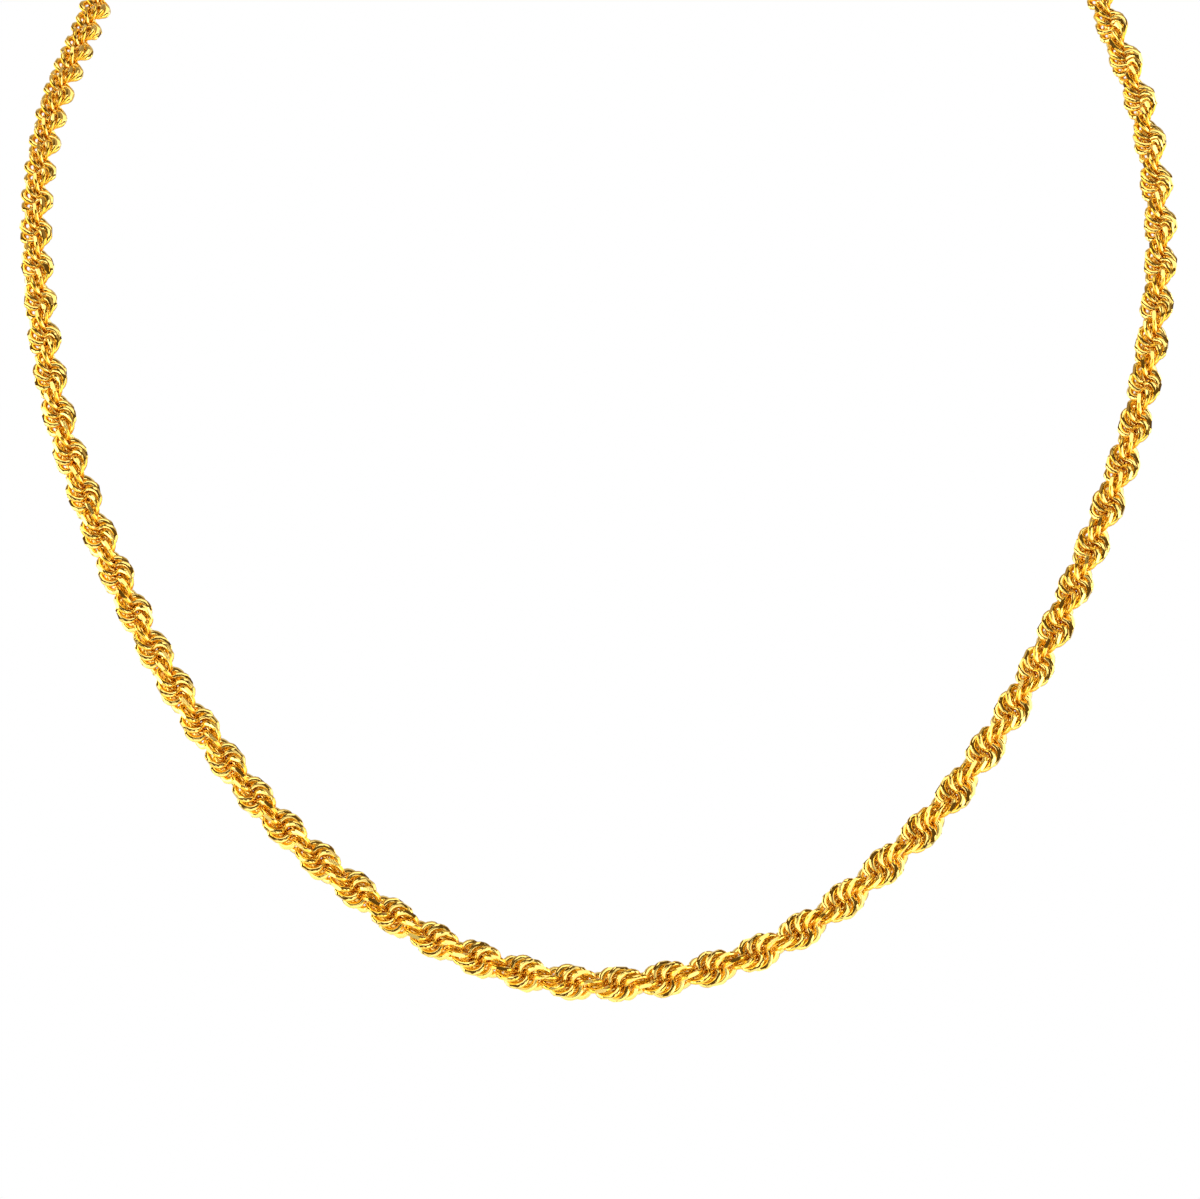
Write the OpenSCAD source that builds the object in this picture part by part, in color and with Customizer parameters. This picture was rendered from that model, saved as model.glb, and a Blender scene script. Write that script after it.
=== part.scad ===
// Gold rope chain worn as a necklace, closed at the nape by a barrel clasp.
// Z is up, the wearer faces -Y and +X is on the wearer's left.
// The origin is on the side of the clasp that rests on the nape.

/* [Rope] */
// Width across the rope's two twisted strands
rope_d = 3.5; // [2.5:0.1:4.5]

/* [Clasp] */
// Length of the barrel
clasp_len = 14; // [12:0.5:18]
// Thickness of the barrel's wall round each rope end
clasp_wall = 0.9; // [0.6:0.1:1.5]
// Radius of the barrel's rounded rims
clasp_rim = 0.7; // [0.2:0.1:1]
// Depth to which each rope end goes into the barrel
seat_depth = 3.5; // [2:0.5:5]

/* [Fit] */
// Gap all round each rope end in its seat
seat_gap = 0.1; // [0.05:0.05:0.2]
// Gap between each rope end and the bottom of its seat
end_gap = 0.2; // [0.1:0.1:0.5]
// Straight length of rope outside each end of the barrel
lead = 2; // [1:0.5:5]

/* [Hidden] */

// Way of the rope, measured from the middle of the clasp: over the right shoulder,
// down to the lowest point on the chest, and up over the left shoulder
route = [
    [-23.5, -1.5, -2],
    [-38.5, -7, -9],
    [-49, -14.5, -18.5],
    [-55.5, -25, -31],
    [-58, -34, -41.5],
    [-60, -45, -51.5],
    [-62, -57, -62.5],
    [-62, -68.5, -75.5],
    [-59.5, -78, -90.5],
    [-56, -83.5, -102.5],
    [-49, -89.5, -118],
    [-40.5, -94, -131.5],
    [-30, -97.5, -143],
    [-16, -100, -152.5],
    [0, -101, -156.5],
    [17, -100, -153],
    [31, -97.5, -143],
    [40.5, -94, -132],
    [48, -90, -119.5],
    [55, -84.5, -104],
    [58.5, -80, -93],
    [61, -73, -78.5],
    [60.5, -64, -63.5],
    [57.5, -55, -50.5],
    [55, -42, -35.5],
    [52.5, -31, -25],
    [47.5, -19.5, -15.5],
    [38, -9, -7.5],
    [23.5, -2, -1.5]
];

// Direction square to the slanting loop as a whole, which no part of the rope follows
loop_normal = [0, -0.79, 0.62];
rope_sides = 8;
steps_per_span = 2;

seat_d = rope_d + 2 * seat_gap;
clasp_d = seat_d + 2 * clasp_wall;
// A rim is never rounder than its wall leaves room for
rim = min(clasp_rim, 0.8 * clasp_wall);
clasp_centre = [0, clasp_d / 2, 0];

// Where the rope leaves its straight lead, and where it ends inside its seat
lead_end = [clasp_len / 2 + lead, 0, 0];
rope_end = [clasp_len / 2 - seat_depth + end_gap, 0, 0];

knots = concat([-lead_end], route, [lead_end]);
last_knot = len(knots) - 1;

function unit(v) = v / norm(v);

// The rope runs along X where it leaves the clasp, and elsewhere along its neighbours' chord
function knot_slope(i) =
    i == 0 ? [-norm(knots[1] - knots[0]), 0, 0]
    : i == last_knot ? [-norm(knots[last_knot] - knots[last_knot - 1]), 0, 0]
    : (knots[i + 1] - knots[i - 1]) / 2;

// Cubic curve from knot i to the next, for u from 0 to 1
function span_point(i, u) =
    (2 * pow(u, 3) - 3 * pow(u, 2) + 1) * knots[i]
    + (pow(u, 3) - 2 * pow(u, 2) + u) * knot_slope(i)
    + (3 * pow(u, 2) - 2 * pow(u, 3)) * knots[i + 1]
    + (pow(u, 3) - pow(u, 2)) * knot_slope(i + 1);

way = concat(
    [-rope_end],
    [for (i = [0 : last_knot - 1], s = [0 : steps_per_span - 1]) span_point(i, s / steps_per_span)],
    [lead_end, rope_end]
);
last_way = len(way) - 1;

// The end rings stand square to X, and each other ring square to its neighbours' chord
function way_tangent(j) =
    j <= 1 || j >= last_way - 1 ? [-1, 0, 0] : unit(way[j + 1] - way[j - 1]);

function rope_ring(j) =
    let (
        tangent = way_tangent(j),
        side = unit(cross(tangent, loop_normal)),
        up = cross(side, tangent)
    )
    [for (k = [0 : rope_sides - 1])
        let (turn = 360 * k / rope_sides)
        way[j] + rope_d / 2 * (cos(turn) * side + sin(turn) * up)];

module rope_chain() {
    color("gold")
        translate(clasp_centre)
            polyhedron(
                points = [for (j = [0 : last_way]) each rope_ring(j)],
                faces = concat(
                    [[for (k = [0 : rope_sides - 1]) k]],
                    [for (j = [0 : last_way - 1], k = [0 : rope_sides - 1])
                        let (
                            near = j * rope_sides + k,
                            near_next = j * rope_sides + (k + 1) % rope_sides
                        )
                        each [
                            [near, near + rope_sides, near_next],
                            [near_next, near + rope_sides, near_next + rope_sides]
                        ]],
                    [[for (k = [rope_sides - 1 : -1 : 0]) last_way * rope_sides + k]]
                )
            );
}

// Half of the barrel's long section, with its axis along Y
module clasp_section() {
    radius = clasp_d / 2;
    half = clasp_len / 2;
    translate([0, -half])
        square([radius - rim, clasp_len]);
    translate([0, rim - half])
        square([radius, clasp_len - 2 * rim]);
    for (end = [-1, 1])
        translate([radius - rim, end * (half - rim)])
            circle(r = rim, $fn = 48);
}

module clasp() {
    color("goldenrod")
        translate(clasp_centre)
            rotate([0, 90, 0])
                difference() {
                    rotate_extrude($fn = 96)
                        clasp_section();
                    for (end = [0, 180])
                        rotate([end, 0, 0])
                            translate([0, 0, clasp_len / 2 - seat_depth])
                                cylinder(d = seat_d, h = seat_depth + seat_gap, $fn = 64);
                }
}

rope_chain();
clasp();
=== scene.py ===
"""Gold rope chain necklace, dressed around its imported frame.

The chain is modelled link by link. Small round links of flattened gold wire stand on the two
strands of a twisted rope, and their outer sides are shaved flat, as a diamond cutter leaves them.
Lengths are metres, Z is up, the wearer faces -Y and +X is on the wearer's left.
"""

import math
import random

import bmesh
import bpy
from bpy.props import FloatProperty, FloatVectorProperty, IntProperty, PointerProperty
from mathutils import Matrix, Vector


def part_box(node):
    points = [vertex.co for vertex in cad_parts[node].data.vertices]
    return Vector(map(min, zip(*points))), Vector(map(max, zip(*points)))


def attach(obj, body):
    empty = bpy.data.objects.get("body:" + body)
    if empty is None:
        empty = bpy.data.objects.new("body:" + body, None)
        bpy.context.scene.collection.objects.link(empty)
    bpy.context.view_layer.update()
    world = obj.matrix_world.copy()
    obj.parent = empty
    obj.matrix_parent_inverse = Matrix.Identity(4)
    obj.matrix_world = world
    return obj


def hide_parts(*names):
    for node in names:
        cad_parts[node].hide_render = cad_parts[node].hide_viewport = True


bl_info = {
    "name": "Rope chain necklace",
    "version": (1, 0, 0),
    "blender": (4, 5, 0),
    "location": "3D View > Sidebar > Necklace",
    "description": "Builds a twisted gold rope chain from round links, with its clasp and a studio",
    "category": "Object",
}

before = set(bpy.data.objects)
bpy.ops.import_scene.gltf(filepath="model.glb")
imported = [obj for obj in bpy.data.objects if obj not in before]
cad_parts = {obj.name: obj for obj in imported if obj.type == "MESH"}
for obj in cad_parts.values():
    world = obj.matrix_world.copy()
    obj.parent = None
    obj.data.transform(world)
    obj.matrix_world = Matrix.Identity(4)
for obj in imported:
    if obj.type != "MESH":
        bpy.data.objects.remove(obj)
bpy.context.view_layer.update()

CLASP_LOW, CLASP_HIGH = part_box("clasp")
CLASP_CENTRE = (CLASP_LOW + CLASP_HIGH) / 2

# Way of the rope, measured from the middle of the clasp: over the right shoulder,
# down to the lowest point on the chest, and up over the left shoulder
ROUTE = [
    (-0.0235, -0.0015, -0.002),
    (-0.0385, -0.007, -0.009),
    (-0.049, -0.0145, -0.0185),
    (-0.0555, -0.025, -0.031),
    (-0.058, -0.034, -0.0415),
    (-0.060, -0.045, -0.0515),
    (-0.062, -0.057, -0.0625),
    (-0.062, -0.0685, -0.0755),
    (-0.0595, -0.078, -0.0905),
    (-0.056, -0.0835, -0.1025),
    (-0.049, -0.0895, -0.118),
    (-0.0405, -0.094, -0.1315),
    (-0.030, -0.0975, -0.143),
    (-0.016, -0.100, -0.1525),
    (0.000, -0.101, -0.1565),
    (0.017, -0.100, -0.153),
    (0.031, -0.0975, -0.143),
    (0.0405, -0.094, -0.132),
    (0.048, -0.090, -0.1195),
    (0.055, -0.0845, -0.104),
    (0.0585, -0.080, -0.093),
    (0.061, -0.073, -0.0785),
    (0.0605, -0.064, -0.0635),
    (0.0575, -0.055, -0.0505),
    (0.055, -0.042, -0.0355),
    (0.0525, -0.031, -0.025),
    (0.0475, -0.0195, -0.0155),
    (0.038, -0.009, -0.0075),
    (0.0235, -0.002, -0.0015),
]
# Where the rope leaves its straight lead outside the clasp, and where it ends in its seat
LEAD_END = Vector((0.009, 0, 0))
ROPE_END = Vector((0.0037, 0, 0))
# Direction square to the slanting loop as a whole, which no part of the rope follows
LOOP_NORMAL = Vector((0, -0.79, 0.62))
STEPS_PER_SPAN = 60

# Distance along the rope, and the half turns that its strands have made by there
TWIST = [
    (0.000, -18.7),
    (0.095, 1.85),
    (0.1175, 6.9),
    (0.146, 12.95),
    (0.180, 20.0),
    (0.218, 28.05),
    (0.252, 35.15),
    (0.272, 39.2),
    (0.304, 45.05),
    (0.329, 50.05),
    (0.364, 56.95),
    (0.398, 62.85),
    (0.501, 84.0),
]

# A link's wire has six sides, and goes round the link in sixteen steps
WIRE_SIDES = 6
LINK_STEPS = 16
# How much wider the flat sides of a link's wire are than those of a plain hexagon
SIDE_FLATNESS = 1.3
# Edges that bend more than this look sharp
SHARP_ANGLE = math.radians(80)
# Faces that turn less than this from a link's own plane are its wire's flat sides
FLAT_ANGLE = math.radians(40)
# A cut reaches only links whose outer side points within this angle of it
CUT_REACH = math.radians(62)
# Nearer the rope's axis than this, the gold has its deepest colour, which is painted shade
SHADED_CORE_RADIUS = 0.0008
# Share by which a link's steps crowd towards its outer side, which is the side that shows
STEP_CROWDING = 0.35
# How far flats lean from square, so that neighbouring links catch different lights
CUT_SPREAD = 0.09
# How far links stray from their places, as handwork does
ROLL_SPREAD = math.radians(1.5)
TILT_SPREAD = math.radians(2.0)
SHIFT_SPREAD = 0.00002
SEED = 7

# Numbers of broad patches and of fine grains to a metre of gold
PATCHES_PER_METRE = 350
GRAINS_PER_METRE = 9000
# How far the patches and the grains change the gold's roughness
PATCH_ROUGHNESS = 0.10
GRAIN_ROUGHNESS = 0.06
# How far the patches, a link's own tone and its distance from the rope's axis brighten its gold,
# and what is taken off their sum. Patches and tone vary at random; the darkening towards the axis is
# painted shade
PATCH_SHARE = 0.3
TONE_SHARE = 0.3
OUTER_PAINTED_LIGHT = 0.7
SHADE_LOSS = 0.15
# Strength and depth of the grains' relief
RELIEF_STRENGTH = 0.1
RELIEF_DEPTH = 0.00002

# Share of the way towards the camera at which the floor's middle lies
FLOOR_FORWARD = 0.25
FLOOR_SIDES = 96
FLOOR_ROUGHNESS = 0.7
FLOOR_COLOUR = (0.9, 0.9, 0.89)
FLOOR_GLOW_COLOUR = (0.84, 0.94, 1.0)

# The camera looks level along +Y. Its focal length is in the photograph's pixels.
CAMERA_PLACE = Vector((0, -0.46337, -0.11763))
FOCAL_PIXELS = 3613.9
IMAGE_WIDTH = 1200
SENSOR_WIDTH = 36.0
CLIP_START = 0.01

# What the softboxes are aimed at
LIT_PLACE = Vector((0, -0.06, -0.1))
# Name of each softbox, degrees that it stands to the right of the camera's side and above the
# necklace, its distance, width and height, and its watts
LIGHTS = [
    ("left_softbox", -80, -6, 0.95, 0.5, 0.8, 4.0),
    ("left_panel", -50, -4, 1.0, 0.34, 0.7, 1.3),
    ("near_left_panel", -22, -5, 1.0, 0.34, 0.5, 0.5),
    ("near_right_panel", 13, -8, 1.0, 0.20, 0.5, 0.3),
    ("right_panel", 42, -4, 1.0, 0.34, 0.7, 1.3),
    ("right_softbox", 76, -10, 0.95, 0.5, 0.8, 4.0),
    ("back_left_softbox", -120, 6, 0.95, 0.5, 0.8, 3.0),
    ("back_right_softbox", 120, 6, 0.95, 0.5, 0.8, 3.0),
    ("low_softbox", 5, -40, 0.62, 0.8, 0.25, 0.4),
    ("high_left_softbox", -26, 52, 0.9, 0.5, 0.4, 0.9),
    ("high_right_softbox", 24, 56, 0.9, 0.4, 0.4, 0.75),
    ("top_softbox", 0, 82, 0.85, 0.7, 0.5, 1.4),
]


class RopeSizes(bpy.types.PropertyGroup):
    link_spacing: FloatProperty(
        name="Link spacing",
        description="Length of rope that each link adds",
        default=0.00042,
        precision=6,
        unit="LENGTH",
    )
    ring_radius: FloatProperty(
        name="Link radius",
        description="Radius of a link, measured to the middle of its wire",
        default=0.00112,
        precision=6,
        unit="LENGTH",
    )
    ring_offset: FloatProperty(
        name="Link offset",
        description="Distance from the rope's axis to the middle of a link",
        default=0.00040,
        precision=6,
        unit="LENGTH",
    )
    ring_tilt: FloatProperty(
        name="Link tilt",
        description="Angle between a link and the plane square to the rope, against the twist past 90",
        default=math.radians(98),
        subtype="ANGLE",
    )
    inner_wire: FloatProperty(
        name="Inner wire",
        description="Thickness of the wire where it lies inside the rope, both ways",
        default=0.00050,
        precision=6,
        unit="LENGTH",
    )
    outer_wire: FloatProperty(
        name="Outer wire depth",
        description="Size of the flattened wire where it shows, towards the link's middle",
        default=0.00082,
        precision=6,
        unit="LENGTH",
    )
    outer_width: FloatProperty(
        name="Outer wire width",
        description="Size of the flattened wire where it shows, square to its flat sides",
        default=0.00054,
        precision=6,
        unit="LENGTH",
    )
    cut_distance: FloatProperty(
        name="Cut distance",
        description="Distance from the rope's axis to the flats that the cutter leaves",
        default=0.00175,
        precision=6,
        unit="LENGTH",
    )
    cut_sides: IntProperty(
        name="Cut sides",
        description="Number of flats round the rope",
        default=8,
        min=4,
        max=16,
    )
    stretches: IntProperty(
        name="Stretches",
        description="Number of joined stretches that the rope's links are made in",
        default=8,
        min=2,
        max=20,
    )


class GoldFinish(bpy.types.PropertyGroup):
    # Painted shade: the dark gold that stands for shade inside the rope, also the dark end of the
    # random patches
    deep_and_shaded_gold: FloatVectorProperty(
        name="Deep gold",
        description="Colour of the wire inside the rope",
        default=(0.80, 0.36, 0.008),
        size=3,
        subtype="COLOR",
    )
    # Painted light: the pale gold where the wire shows outside the rope, also the pale end of the
    # random patches
    bright: FloatVectorProperty(
        name="Bright gold",
        description="Colour of the wire where it shows",
        default=(1.0, 0.64, 0.08),
        size=3,
        subtype="COLOR",
    )
    # Painted highlight: a paler gold for the wire's flat sides and the cut flats, as gold doesn't pale
    # with polish; their low roughness is real
    pale_highlight_gold: FloatVectorProperty(
        name="Polished gold",
        description="Colour of the wire's flat sides and of the flats that the cutter leaves",
        default=(1.0, 0.74, 0.20),
        size=3,
        subtype="COLOR",
    )
    roughness: FloatProperty(
        name="Wire roughness",
        description="Roughness of drawn wire",
        default=0.2,
        min=0,
        max=1,
        subtype="FACTOR",
    )
    flat_roughness: FloatProperty(
        name="Flat roughness",
        description="Roughness of the wire's flat sides and of the flats that the cutter leaves",
        default=0.08,
        min=0,
        max=1,
        subtype="FACTOR",
    )


class StudioSizes(bpy.types.PropertyGroup):
    floor_drop: FloatProperty(
        name="Floor drop",
        description="Distance from the clasp down to the floor",
        default=0.62,
        unit="LENGTH",
    )
    floor_radius: FloatProperty(
        name="Floor radius",
        description="Radius of the round floor",
        default=1.4,
        unit="LENGTH",
    )
    floor_glow: FloatProperty(
        name="Floor glow",
        description="Brightness of the floor's own light, as a light table has",
        default=0.45,
        min=0,
    )
    surround: FloatProperty(
        name="Surround",
        description="Brightness of the room in the gold's reflections",
        default=0.11,
        min=0,
    )
    room_colour: FloatVectorProperty(
        name="Room colour",
        description="Colour of the room in front of the necklace",
        default=(1.0, 0.62, 0.25),
        size=3,
        subtype="COLOR",
    )
    backdrop: FloatProperty(
        name="Backdrop",
        description="Brightness that the room gains towards the white backdrop behind the necklace",
        default=0.8,
        min=0,
    )


# Places of a Mix node's colours among its sockets, after those for numbers and vectors
MIX_COLOUR_A = 6
MIX_COLOUR_B = 7
MIX_COLOUR_RESULT = 2


class Signal:
    """A number that varies over a surface. Python's operators add Math nodes to it."""

    def __init__(self, nodes, socket):
        self.nodes = nodes
        self.socket = socket

    def combine(self, operation, first, second):
        node = self.nodes.make("ShaderNodeMath", {"operation": operation}, {0: first, 1: second})
        return Signal(self.nodes, node.outputs[0])

    def __add__(self, other):
        return self.combine("ADD", self, other)

    def __radd__(self, other):
        return self.combine("ADD", other, self)

    def __sub__(self, other):
        return self.combine("SUBTRACT", self, other)

    def __rsub__(self, other):
        return self.combine("SUBTRACT", other, self)

    def __mul__(self, other):
        return self.combine("MULTIPLY", self, other)

    def __rmul__(self, other):
        return self.combine("MULTIPLY", other, self)


class Nodes:
    """Makes the nodes of one tree"""

    def __init__(self, tree):
        self.tree = tree
        tree.nodes.clear()

    def make(self, kind, settings=None, sockets=None):
        """A node of that kind, with its settings set before the values or links of its sockets"""
        node = self.tree.nodes.new(kind)
        for name, value in (settings or {}).items():
            setattr(node, name, value)
        for name, value in (sockets or {}).items():
            if isinstance(value, Signal):
                value = value.socket
            if isinstance(value, bpy.types.NodeSocket):
                self.tree.links.new(value, node.inputs[name])
            else:
                node.inputs[name].default_value = value
        return node

    def signal(self, kind, output, settings=None, sockets=None):
        return Signal(self, self.make(kind, settings, sockets).outputs[output])

    def mixed(self, share, first, second):
        """Colour that goes from the first to the second as the share goes from 0 to 1"""
        sockets = {"Factor": share, MIX_COLOUR_A: first, MIX_COLOUR_B: second}
        node = self.make("ShaderNodeMix", {"data_type": "RGBA"}, sockets)
        return node.outputs[MIX_COLOUR_RESULT]


def opaque(colour):
    return (*colour, 1)


def gold_material(name, finish, is_linked):
    """High-carat gold: drawn wire that is a little rough, with painted shade that deepens its colour
    inside the rope, and mirror flats with a painted highlight in their paler colour
    """
    material = bpy.data.materials.new(name)
    material.use_nodes = True
    nodes = Nodes(material.node_tree)
    place = nodes.make("ShaderNodeTexCoord").outputs["Object"]
    patches = nodes.signal(
        "ShaderNodeTexNoise",
        "Fac",
        {},
        {"Vector": place, "Scale": PATCHES_PER_METRE, "Detail": 2},
    )
    grain = nodes.signal(
        "ShaderNodeTexNoise",
        "Fac",
        {},
        {"Vector": place, "Scale": GRAINS_PER_METRE, "Detail": 3},
    )
    shade = patches
    roughness = finish.roughness + PATCH_ROUGHNESS * (patches - 0.5) + GRAIN_ROUGHNESS * (grain - 0.5)
    if is_linked:
        tone = nodes.signal("ShaderNodeAttribute", "Fac", {"attribute_name": "link_tone"})
        flat = nodes.signal("ShaderNodeAttribute", "Fac", {"attribute_name": "smooth_flat_and_highlight"})
        # Painted shade: the gold darkens towards the rope's axis
        outside = nodes.signal("ShaderNodeAttribute", "Fac", {"attribute_name": "outer_painted_light"})
        shade = PATCH_SHARE * patches + TONE_SHARE * tone + OUTER_PAINTED_LIGHT * outside - SHADE_LOSS
        roughness = roughness - (finish.roughness - finish.flat_roughness) * flat
    # From dark to pale gold by random patches and tone, and on the rope by painted shade towards its
    # axis
    colour = nodes.mixed(shade, opaque(finish.deep_and_shaded_gold), opaque(finish.bright))
    if is_linked:
        # Painted highlight: the flat sides and the cut flats take the paler gold
        colour = nodes.mixed(flat, colour, opaque(finish.pale_highlight_gold))
    relief = nodes.make(
        "ShaderNodeBump",
        {},
        {"Strength": RELIEF_STRENGTH, "Distance": RELIEF_DEPTH, "Height": grain},
    )
    surface = nodes.make(
        "ShaderNodeBsdfPrincipled",
        {},
        {
            "Base Color": colour,
            "Metallic": 1.0,
            "Roughness": roughness,
            "Normal": relief.outputs["Normal"],
        },
    )
    nodes.make("ShaderNodeOutputMaterial", {}, {"Surface": surface.outputs["BSDF"]})
    return material


def along(knots, share):
    """Value of the cubic curve with the given start, start slope, end and end slope"""
    start, start_slope, end, end_slope = knots
    square = share**2
    cube = share**3
    return (
        start * (2 * cube - 3 * square + 1)
        + start_slope * (cube - 2 * square + share)
        + end * (3 * square - 2 * cube)
        + end_slope * (cube - square)
    )


def rope_way():
    """The rope's centreline as close points, and each point's distance along the rope"""
    knots = [-LEAD_END] + [Vector(point) for point in ROUTE] + [LEAD_END]
    last = len(knots) - 1
    slopes = [(knots[min(i + 1, last)] - knots[max(i - 1, 0)]) / 2 for i in range(last + 1)]
    slopes[0] = Vector((-(knots[1] - knots[0]).length, 0, 0))
    slopes[last] = Vector((-(knots[last] - knots[last - 1]).length, 0, 0))
    points = [-ROPE_END]
    for i in range(last):
        span = (knots[i], slopes[i], knots[i + 1], slopes[i + 1])
        points += [along(span, step / STEPS_PER_SPAN) for step in range(STEPS_PER_SPAN)]
    points += [LEAD_END, ROPE_END]
    distances = [0.0]
    for before, after in zip(points, points[1:]):
        distances.append(distances[-1] + (after - before).length)
    return [CLASP_CENTRE + point for point in points], distances


def link_places(spacing):
    """For every link its distance along the rope, and a frame whose Z runs along the rope"""
    points, distances = rope_way()
    count = int(distances[-1] / spacing)
    margin = (distances[-1] - (count - 1) * spacing) / 2
    places = []
    here = 0
    for i in range(count):
        distance = margin + i * spacing
        while distances[here + 1] < distance:
            here += 1
        share = (distance - distances[here]) / (distances[here + 1] - distances[here])
        place = points[here].lerp(points[here + 1], share)
        before = points[max(here - 1, 0)]
        after = points[min(here + 2, len(points) - 1)]
        tangent = (after - before).normalized()
        side = tangent.cross(LOOP_NORMAL).normalized()
        axes = Matrix((side, tangent.cross(side), tangent)).transposed()
        places.append((distance, Matrix.Translation(place) @ axes.to_4x4()))
    return places


def half_turns(distance):
    """Half turns of the strands at a distance along the rope"""
    row = 0
    while row < len(TWIST) - 2 and TWIST[row + 1][0] < distance:
        row += 1
    near = TWIST[max(row - 1, 0) : row + 3]
    start, start_turns = TWIST[row]
    end, end_turns = TWIST[row + 1]
    length = end - start
    before = near[0]
    after = near[-1]
    start_rate = (end_turns - before[1]) / (end - before[0])
    end_rate = (after[1] - start_turns) / (after[0] - start)
    knots = (start_turns, start_rate * length, end_turns, end_rate * length)
    return along(knots, (distance - start) / length)


def add_layers(maker):
    """Gives a bmesh the layers from which the gold takes its colours"""
    maker.faces.layers.float.new("smooth_flat_and_highlight")
    maker.faces.layers.float.new("link_tone")
    maker.verts.layers.float.new("outer_painted_light")


def link_shape(rope):
    """One round link about the rope's axis Z, with its outer side towards X"""
    link = bmesh.new()
    add_layers(link)
    upright = Matrix.Rotation(math.pi / 2, 4, "X")
    bmesh.ops.create_circle(
        link,
        segments=WIRE_SIDES,
        radius=rope.inner_wire / 2,
        matrix=Matrix.Translation((rope.ring_radius, 0, 0)) @ upright,
    )
    bmesh.ops.spin(
        link,
        geom=link.verts[:] + link.edges[:],
        cent=(0, 0, 0),
        axis=(0, 0, 1),
        angle=2 * math.pi,
        steps=LINK_STEPS,
        use_merge=True,
    )
    for vert in link.verts:
        turn = math.atan2(vert.co.y, vert.co.x)
        turn -= STEP_CROWDING * math.sin(turn)
        outer_share = (1 + math.cos(turn)) / 2
        thicker = 1 + (rope.outer_wire / rope.inner_wire - 1) * outer_share
        wider = 1 + (rope.outer_width / rope.inner_wire - 1) * outer_share
        depth = (vert.co.xy.length - rope.ring_radius) * thicker
        # Of the wire's six corners, the four of its flat sides stand off the link's own plane
        if abs(vert.co.z) > rope.inner_wire / 4:
            depth *= SIDE_FLATNESS
        radius = rope.ring_radius + depth
        vert.co = (radius * math.cos(turn), radius * math.sin(turn), vert.co.z * wider)
    tilt = Matrix.Rotation(rope.ring_tilt, 3, "X")
    bmesh.ops.rotate(link, verts=link.verts, matrix=tilt)
    bmesh.ops.translate(link, verts=link.verts, vec=(rope.ring_offset, 0, 0))
    # Share of painted light, from 0 at the rope's axis, where the painted shade is darkest, to 1 at
    # the flats
    outside = link.verts.layers.float["outer_painted_light"]
    for vert in link.verts:
        depth = (vert.co.xy.length - SHADED_CORE_RADIUS) / (rope.cut_distance - SHADED_CORE_RADIUS)
        vert[outside] = min(max(depth, 0), 1)
    bmesh.ops.recalc_face_normals(link, faces=link.faces)
    for face in link.faces:
        face.smooth = True
    for edge in link.edges:
        edge.smooth = edge.calc_face_angle() < SHARP_ANGLE
    flat = link.faces.layers.float["smooth_flat_and_highlight"]
    across = tilt @ Vector((0, 0, 1))
    # The wire's flat sides are marked for low roughness and for the paler gold of a painted highlight
    for face in link.faces:
        if abs(face.normal.dot(across)) > math.cos(FLAT_ANGLE):
            face[flat] = 1
    return link


def shave(link, rope, facing, chance):
    """Cuts flats on the outer side of a link that stands on the rope's axis and faces that angle"""
    step = 2 * math.pi / rope.cut_sides
    flat = link.faces.layers.float["smooth_flat_and_highlight"]
    for side in range(rope.cut_sides):
        away = (side * step - facing + math.pi) % (2 * math.pi) - math.pi
        if abs(away) > CUT_REACH:
            continue
        square = Vector((math.cos(side * step), math.sin(side * step), 0))
        lean = Vector([chance.gauss(0, CUT_SPREAD) for axis in range(3)])
        normal = (square + lean).normalized()
        cut = bmesh.ops.bisect_plane(
            link,
            geom=link.verts[:] + link.edges[:] + link.faces[:],
            plane_co=square * rope.cut_distance,
            plane_no=normal,
            clear_outer=True,
        )
        edges = [piece for piece in cut["geom_cut"] if isinstance(piece, bmesh.types.BMEdge)]
        if not edges:
            continue
        caps = bmesh.ops.edgeloop_fill(link, edges=edges)["faces"]
        # Cut flats are marked for low roughness and for the paler gold of a painted highlight
        for cap in caps:
            cap[flat] = 1
            for edge in cap.edges:
                edge.smooth = False


def clear_old(name):
    """Removes a piece that an earlier run of an operator left"""
    old = bpy.data.objects.get(name)
    if old:
        bpy.data.objects.remove(old)


def add_object(name, mesh_maker):
    """A new object from a bmesh, at the origin"""
    clear_old(name)
    mesh = bpy.data.meshes.new(name)
    mesh_maker.to_mesh(mesh)
    mesh_maker.free()
    piece = bpy.data.objects.new(name, mesh)
    bpy.context.scene.collection.objects.link(piece)
    return piece


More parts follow.
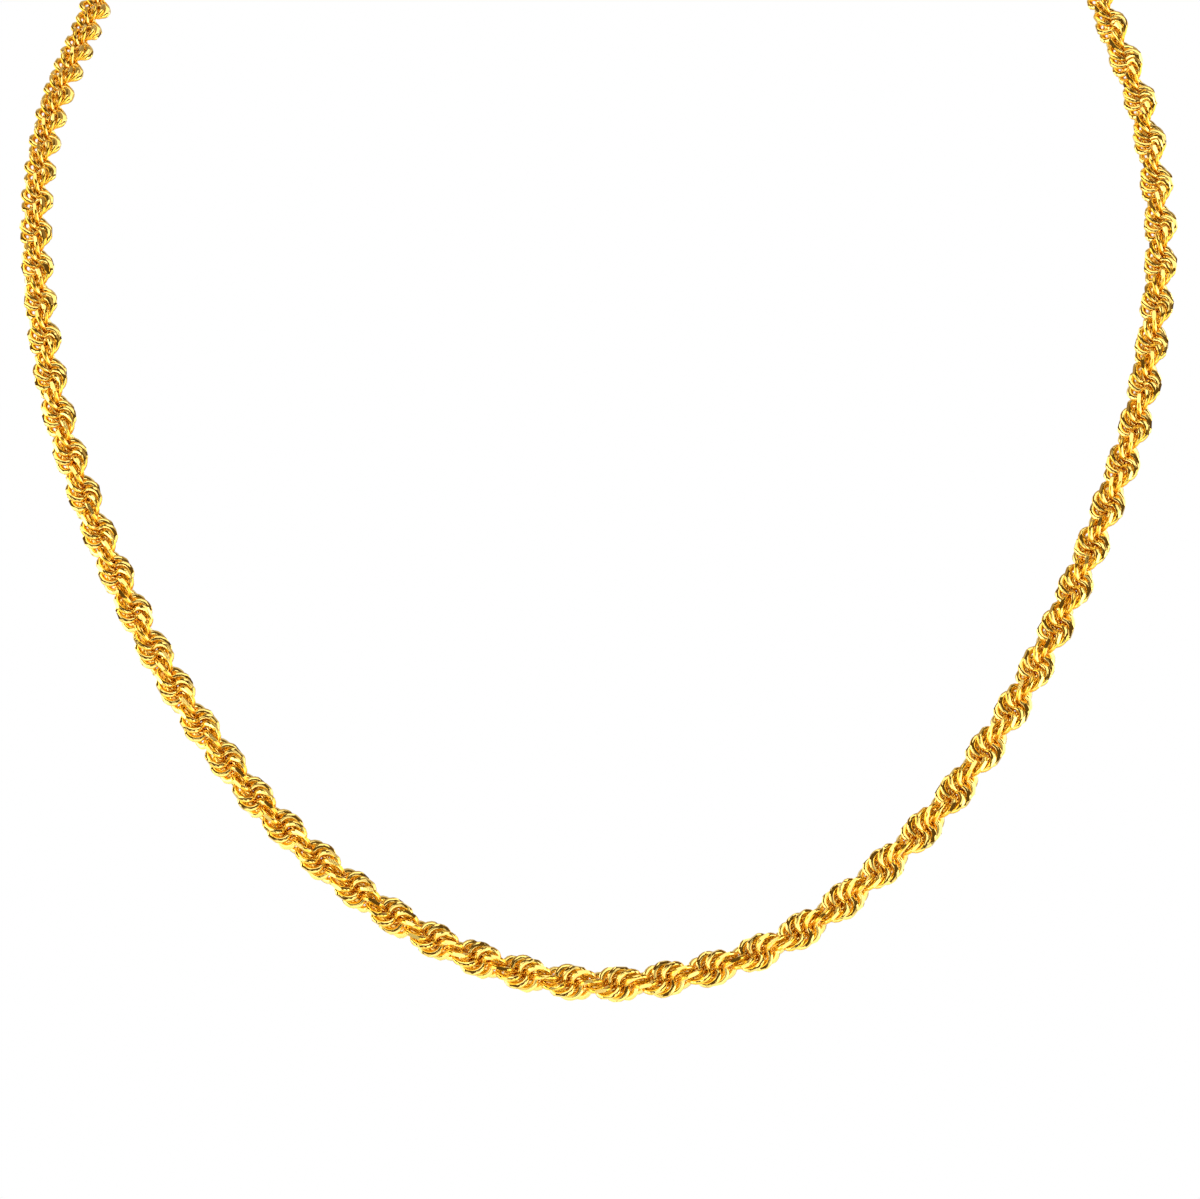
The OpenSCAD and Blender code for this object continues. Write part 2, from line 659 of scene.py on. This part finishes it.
class NECKLACE_OT_rope(bpy.types.Operator):
    """Builds the rope's links and shaves their outer sides flat"""

    bl_idname = "necklace.rope"
    bl_label = "Build rope"

    def execute(self, context):
        rope = context.scene.necklace_rope
        places = link_places(rope.link_spacing)
        if len(places) < rope.stretches:
            raise RuntimeError("the rope has fewer links than stretches")
        pattern = link_shape(rope)
        gold = gold_material("rope_gold", context.scene.necklace_gold, True)
        chance = random.Random(SEED)
        scratch = bpy.data.meshes.new("one_link")
        per_stretch = math.ceil(len(places) / rope.stretches)
        for stretch in range(rope.stretches):
            joined = bmesh.new()
            add_layers(joined)
            first = stretch * per_stretch
            for i in range(first, min(first + per_stretch, len(places))):
                distance, place = places[i]
                # Neighbouring links stand on opposite strands
                facing = (half_turns(distance) + i) * math.pi + chance.gauss(0, ROLL_SPREAD)
                lean = Matrix.Rotation(chance.gauss(0, TILT_SPREAD), 4, "X")
                outward = chance.gauss(0, SHIFT_SPREAD)
                onward = chance.gauss(0, SHIFT_SPREAD)
                shift = Matrix.Translation((outward, 0, onward))
                link = pattern.copy()
                stand = Matrix.Rotation(facing, 4, "Z") @ shift @ lean
                bmesh.ops.transform(link, matrix=stand, verts=link.verts)
                shave(link, rope, facing, chance)
                tone = link.faces.layers.float["link_tone"]
                own_tone = chance.random()
                for face in link.faces:
                    face[tone] = own_tone
                bmesh.ops.transform(link, matrix=place, verts=link.verts)
                link.to_mesh(scratch)
                link.free()
                joined.from_mesh(scratch)
            piece = add_object(f"rope_links_{stretch + 1}", joined)
            piece.data.materials.append(gold)
            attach(piece, "root")
            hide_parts("rope_chain")
        pattern.free()
        bpy.data.meshes.remove(scratch)
        return {"FINISHED"}


class NECKLACE_OT_clasp(bpy.types.Operator):
    """Gives the clasp its gold, with a smooth polish"""

    bl_idname = "necklace.clasp"
    bl_label = "Finish clasp"

    def execute(self, context):
        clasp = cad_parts["clasp"]
        clasp.data.materials.clear()
        clasp.data.materials.append(gold_material("clasp_gold", context.scene.necklace_gold, False))
        return {"FINISHED"}


class NECKLACE_OT_stage(bpy.types.Operator):
    """Sets the pale floor, the soft light and the camera"""

    bl_idname = "necklace.stage"
    bl_label = "Set stage"

    def execute(self, context):
        studio = context.scene.necklace_studio
        self.set_camera(context)
        self.lay_floor(studio)
        self.light_room(context, studio)
        return {"FINISHED"}

    def set_camera(self, context):
        data = bpy.data.cameras.new("camera")
        data.sensor_width = SENSOR_WIDTH
        data.lens = FOCAL_PIXELS / IMAGE_WIDTH * SENSOR_WIDTH
        data.clip_start = CLIP_START
        camera = bpy.data.objects.new("camera", data)
        camera.location = CAMERA_PLACE
        camera.rotation_euler = (math.pi / 2, 0, 0)
        context.scene.collection.objects.link(camera)
        context.scene.camera = camera

    def lay_floor(self, studio):
        disc = bmesh.new()
        bmesh.ops.create_circle(
            disc,
            cap_ends=True,
            segments=FLOOR_SIDES,
            radius=studio.floor_radius,
            matrix=Matrix.Translation((0, FLOOR_FORWARD * CAMERA_PLACE.y, -studio.floor_drop)),
        )
        floor = add_object("floor", disc)
        paint = bpy.data.materials.new("pale_floor")
        paint.use_nodes = True
        nodes = Nodes(paint.node_tree)
        surface = nodes.make(
            "ShaderNodeBsdfPrincipled",
            {},
            {
                "Base Color": opaque(FLOOR_COLOUR),
                "Roughness": FLOOR_ROUGHNESS,
                "Emission Color": opaque(FLOOR_GLOW_COLOUR),
                "Emission Strength": studio.floor_glow,
            },
        )
        nodes.make("ShaderNodeOutputMaterial", {}, {"Surface": surface.outputs["BSDF"]})
        floor.data.materials.append(paint)

    def light_room(self, context, studio):
        world = bpy.data.worlds.new("studio")
        world.use_nodes = True
        nodes = Nodes(world.node_tree)
        white = nodes.make("ShaderNodeBackground", {}, {"Color": (1, 1, 1, 1), "Strength": 1.0})
        way = nodes.make("ShaderNodeTexCoord").outputs["Generated"]
        depth = nodes.signal("ShaderNodeSeparateXYZ", "Y", {}, {"Vector": way})
        behind = nodes.signal("ShaderNodeMapRange", "Result", {}, {"Value": depth, "From Min": 0.0})
        glow = studio.surround + studio.backdrop * behind
        hue = nodes.mixed(behind, opaque(studio.room_colour), (1, 1, 1, 1))
        room = nodes.make("ShaderNodeBackground", {}, {"Color": hue, "Strength": glow})
        seen = nodes.make("ShaderNodeLightPath").outputs["Is Camera Ray"]
        mixed = nodes.make(
            "ShaderNodeMixShader",
            {},
            {0: seen, 1: room.outputs[0], 2: white.outputs[0]},
        )
        nodes.make("ShaderNodeOutputWorld", {}, {"Surface": mixed.outputs[0]})
        context.scene.world = world
        for name, right, up, distance, width, height, watts in LIGHTS:
            data = bpy.data.lights.new(name, "AREA")
            data.shape = "RECTANGLE"
            data.size = width
            data.size_y = height
            data.energy = watts
            sideways = Matrix.Rotation(math.radians(right), 3, "Z")
            upwards = Matrix.Rotation(-math.radians(up), 3, "X")
            away = sideways @ upwards @ Vector((0, -distance, 0))
            light = bpy.data.objects.new(name, data)
            light.location = LIT_PLACE + away
            light.rotation_euler = away.to_track_quat("Z", "Y").to_euler()
            light.visible_camera = False
            context.scene.collection.objects.link(light)
        context.scene.view_settings.view_transform = "Standard"


class NECKLACE_PT_panel(bpy.types.Panel):
    bl_label = "Rope chain necklace"
    bl_idname = "NECKLACE_PT_panel"
    bl_space_type = "VIEW_3D"
    bl_region_type = "UI"
    bl_category = "Necklace"

    def draw(self, context):
        scene = context.scene
        for group in (scene.necklace_rope, scene.necklace_gold, scene.necklace_studio):
            box = self.layout.box()
            for name in group.__annotations__:
                box.prop(group, name)
        for operator in (NECKLACE_OT_stage, NECKLACE_OT_rope, NECKLACE_OT_clasp):
            self.layout.operator(operator.bl_idname)


CLASSES = (
    RopeSizes,
    GoldFinish,
    StudioSizes,
    NECKLACE_OT_rope,
    NECKLACE_OT_clasp,
    NECKLACE_OT_stage,
    NECKLACE_PT_panel,
)


def register():
    for each in CLASSES:
        bpy.utils.register_class(each)
    bpy.types.Scene.necklace_rope = PointerProperty(type=RopeSizes)
    bpy.types.Scene.necklace_gold = PointerProperty(type=GoldFinish)
    bpy.types.Scene.necklace_studio = PointerProperty(type=StudioSizes)


def unregister():
    del bpy.types.Scene.necklace_studio
    del bpy.types.Scene.necklace_gold
    del bpy.types.Scene.necklace_rope
    for each in reversed(CLASSES):
        bpy.utils.unregister_class(each)


def main():
    register()
    bpy.ops.necklace.stage()
    bpy.ops.necklace.rope()
    bpy.ops.necklace.clasp()


if __name__ == "__main__":
    main()
